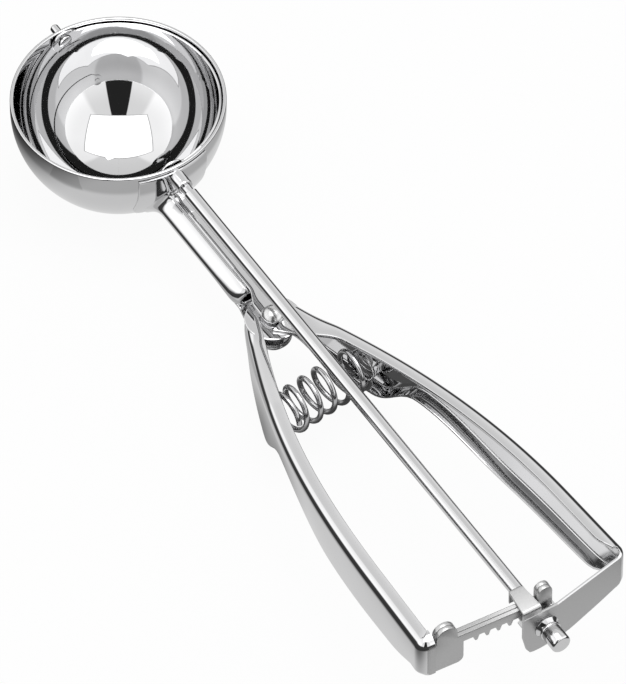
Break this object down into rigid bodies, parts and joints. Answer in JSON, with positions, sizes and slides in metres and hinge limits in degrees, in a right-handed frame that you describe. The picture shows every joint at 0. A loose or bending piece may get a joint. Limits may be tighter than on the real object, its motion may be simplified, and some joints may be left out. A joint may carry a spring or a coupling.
{
  "type": "lever ice cream scoop",
  "caption": "Squeeze-handle ice cream scoop: a lever drives a rack and pinion that sweeps a curved blade round the inside of a round bowl.",
  "frame": {"origin": "centre of the bowl's sphere, on the axis of the scraper shaft", "axes": "+X along the shaft from the bowl to the knob, +Z out of the bowl's mouth, +Y towards the fixed handle"},
  "size_m": [0.2558, 0.0667, 0.0433],
  "materials": {
    "polished_steel": "polished stainless steel",
    "satin_steel": "satin stainless steel",
    "spring_wire": "drawn stainless wire"
  },
  "bodies": {
    "frame": {"bowl": "polished_steel", "neck_bracket": "polished_steel", "pivot_rivet": "polished_steel", "pivot_washer": "polished_steel", "pivot_spacer": "satin_steel", "fixed_handle": "polished_steel", "front_bush": "polished_steel", "rear_bush": "polished_steel", "spring_seat_right": "polished_steel"},
    "lever": {"lever_handle": "polished_steel", "rack_front": "satin_steel", "rack_rear": "satin_steel", "spring_seat_left": "polished_steel", "spring": "spring_wire"},
    "scraper": {"rod": "polished_steel", "pinion": "satin_steel", "end_knob": "polished_steel", "retaining_ring": "polished_steel", "blade": "polished_steel", "blade_pin": "polished_steel"}
  },
  "joints": [
    {"name": "squeeze", "type": "hinge", "parent": "frame", "child": "lever", "pos_m": [0.079, 0, -0.0133], "axis": [0, 0, 1], "range_deg": [0, 7], "stiffness_Nm_per_rad": 4, "springref_deg": -8.59, "deforming": ["spring"]},
    {"name": "scraper_turn", "type": "hinge", "parent": "frame", "child": "scraper", "pos_m": [0, 0, 0], "axis": [-1, 0, 0], "range_deg": [0, 192]}
  ],
  "couplings": [
    {"joint": "scraper_turn", "follows": "squeeze", "ratio": 27.225}
  ]
}
